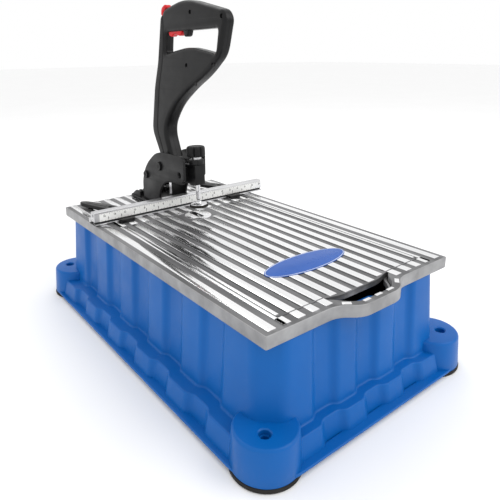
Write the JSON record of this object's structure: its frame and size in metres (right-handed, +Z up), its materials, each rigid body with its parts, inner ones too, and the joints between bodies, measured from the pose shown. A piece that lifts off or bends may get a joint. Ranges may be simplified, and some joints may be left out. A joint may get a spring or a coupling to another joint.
{
  "type": "pocket hole drilling machine",
  "caption": "Bench machine for angled pocket holes: ribbed table on a moulded base, fence with a rule, and a D-handled lever that clamps the board and feeds the drill.",
  "frame": {"origin": "on the floor under the middle of the table", "axes": "+X across the table to the right of the operator, +Y from the operator to the clamp lever, +Z up"},
  "size_m": [0.429, 0.682, 0.5593],
  "materials": {
    "blue_plastic": "satin moulded blue plastic with a fine grain",
    "black_plastic": "fine-textured black plastic",
    "black_metal": "black powder coat",
    "foot_rubber": "matt black rubber",
    "red_plastic": "satin red plastic",
    "table_alloy": "brushed lands over cast grooves",
    "fence_alloy": "satin anodised extrusion",
    "bright_steel": "bright ground steel",
    "rule_white": "white printed rule",
    "badge_blue": "glossy blue label"
  },
  "bodies": {
    "base": {"base_shell": "blue_plastic", "bottom_plate": "black_metal", "foot_front_left": "foot_rubber", "foot_front_right": "foot_rubber", "foot_rear_right": "foot_rubber", "foot_rear_left": "foot_rubber", "foot_bolt_front_left": "bright_steel", "foot_bolt_front_right": "bright_steel", "foot_bolt_rear_right": "bright_steel", "foot_bolt_rear_left": "bright_steel", "table_frame": "table_alloy", "housing_base": "black_plastic", "housing_plate_left": "black_plastic", "housing_plate_right": "black_plastic", "housing_spacer": "bright_steel", "handle_shaft": "bright_steel", "arm_shaft": "bright_steel", "guide_rod_left": "bright_steel", "guide_rod_right": "bright_steel", "bit_guide": "bright_steel", "rail_bracket_front": "black_metal", "rail_bracket_rear": "black_metal", "crank_bracket": "black_metal", "dust_port": "black_plastic", "power_inlet": "black_plastic"},
    "panel": {"access_panel": "table_alloy", "panel_badge": "badge_blue"},
    "fence": {"fence_bar": "fence_alloy", "fence_scale": "rule_white", "cam_stud_left": "bright_steel", "cam_stud_right": "bright_steel"},
    "lever_left": {"cam_lever_left": "black_plastic"},
    "lever_right": {"cam_lever_right": "black_plastic"},
    "stop_left": {"fence_stop_left": "black_plastic"},
    "stop_right": {"fence_stop_right": "black_plastic"},
    "handle": {"handle_left": "black_plastic", "handle_right": "black_plastic", "handle_lever": "black_metal", "power_switch": "black_metal"},
    "trigger_piece": {"trigger": "red_plastic"},
    "lock_button_piece": {"lock_button": "red_plastic"},
    "arm": {"clamp_arm": "black_plastic"},
    "roller": {"arm_roller": "bright_steel"},
    "ring": {"lock_ring": "black_metal"},
    "knob": {"clamp_knob": "black_plastic"},
    "plunger": {"plunger_rod": "bright_steel"},
    "pad": {"pad_cup": "bright_steel", "pad_rubber": "foot_rubber"},
    "carriage": {"drill_carriage": "table_alloy", "motor_body": "black_plastic", "gearbox": "table_alloy"},
    "spindle": {"chuck": "bright_steel", "drill_bit": "bright_steel", "depth_collar": "bright_steel"},
    "rod": {"pull_rod": "bright_steel"},
    "crank": {"bell_crank": "black_metal"},
    "link": {"push_link": "bright_steel"}
  },
  "joints": [
    {"name": "panel_lift", "type": "hinge", "parent": "base", "child": "panel", "pos_m": [0, 0.1224, 0.178], "axis": [-1, 0, 0], "range_deg": [0, 10]},
    {"name": "fence_set", "type": "slide", "parent": "base", "child": "fence", "axis": [0, 1, 0], "range_m": [-0.012, 0.002]},
    {"name": "cam_lever_left_lift", "type": "hinge", "parent": "fence", "child": "lever_left", "pos_m": [-0.114, 0.193, 0.187], "axis": [0.9205, 0.3907, 0], "range_deg": [0, 95]},
    {"name": "cam_lever_right_lift", "type": "hinge", "parent": "fence", "child": "lever_right", "pos_m": [0.142, 0.193, 0.187], "axis": [0.9205, 0.3907, 0], "range_deg": [0, 95]},
    {"name": "stop_left_slide", "type": "slide", "parent": "fence", "child": "stop_left", "axis": [1, 0, 0], "range_m": [-0.03, 0.03]},
    {"name": "stop_right_slide", "type": "slide", "parent": "fence", "child": "stop_right", "axis": [1, 0, 0], "range_m": [-0.03, 0.03]},
    {"name": "handle_pull", "type": "hinge", "parent": "base", "child": "handle", "pos_m": [0, 0.178, 0.262], "axis": [1, 0, 0], "range_deg": [0, 50], "stiffness_Nm_per_rad": 4, "springref_deg": -45.84},
    {"name": "trigger_squeeze", "type": "hinge", "parent": "handle", "child": "trigger_piece", "pos_m": [0, 0.163, 0.516], "axis": [-1, 0, 0], "range_deg": [0, 5], "stiffness_Nm_per_rad": 0.4, "springref_deg": -5.73},
    {"name": "lock_button_press", "type": "slide", "parent": "handle", "child": "lock_button_piece", "axis": [0, -0.8, -0.6], "range_m": [0, 0.003], "stiffness_N_per_m": 200, "springref_m": -0.001},
    {"name": "arm_swing", "type": "hinge", "parent": "base", "child": "arm", "pos_m": [0, 0.232, 0.236], "axis": [1, 0, 0], "range_deg": [0, 3.26]},
    {"name": "roller_spin", "type": "hinge", "parent": "arm", "child": "roller", "pos_m": [0, 0.14842, 0.24575], "axis": [1, 0, 0], "continuous": true},
    {"name": "lock_ring_turn", "type": "hinge", "parent": "arm", "child": "ring", "pos_m": [0, 0.09569, 0.2803], "axis": [0, 0.0567, 0.9984], "range_deg": [-180, 180]},
    {"name": "knob_turn", "type": "hinge", "parent": "arm", "child": "knob", "pos_m": [0, 0.09654, 0.29528], "axis": [0, 0.0567, 0.9984], "range_deg": [-720.5, 720.5]},
    {"name": "plunger_screw", "type": "slide", "parent": "arm", "child": "plunger", "axis": [0, 0.0567, 0.9984], "range_m": [-0.003, 0.003]},
    {"name": "pad_tilt", "type": "hinge", "parent": "plunger", "child": "pad", "pos_m": [0, 0.09144, 0.20542], "axis": [1, 0, 0], "range_deg": [-4, 4]},
    {"name": "drill_feed", "type": "slide", "parent": "base", "child": "carriage", "axis": [0, 0.9659, 0.2588], "range_m": [0, 0.04601]},
    {"name": "spindle_turn", "type": "hinge", "parent": "carriage", "child": "spindle", "pos_m": [0, 0.098, 0.178], "axis": [0, 0.9659, 0.2588], "continuous": true},
    {"name": "pull_rod_swing", "type": "hinge", "parent": "handle", "child": "rod", "pos_m": [0, 0.21244, 0.24594], "axis": [1, 0, 0], "range_deg": [-50.01, 0]},
    {"name": "bell_crank_turn", "type": "hinge", "parent": "base", "child": "crank", "pos_m": [0, 0.16832, 0.13], "axis": [1, 0, 0], "range_deg": [0, 40.01]},
    {"name": "push_link_swing", "type": "hinge", "parent": "crank", "child": "link", "pos_m": [0, 0.1461, 0.06896], "axis": [1, 0, 0], "range_deg": [-42.68, 0]}
  ],
  "couplings": [
    {"joint": "arm_swing", "follows": "handle_pull", "ratio": 0.065},
    {"joint": "drill_feed", "follows": "handle_pull", "m_per_rad": 0.052712},
    {"joint": "pull_rod_swing", "follows": "handle_pull", "ratio": -1},
    {"joint": "bell_crank_turn", "follows": "handle_pull", "ratio": 0.8},
    {"joint": "push_link_swing", "follows": "handle_pull", "ratio": -0.85344},
    {"joint": "knob_turn", "follows": "plunger_screw", "rad_per_m": 4188.8}
  ]
}
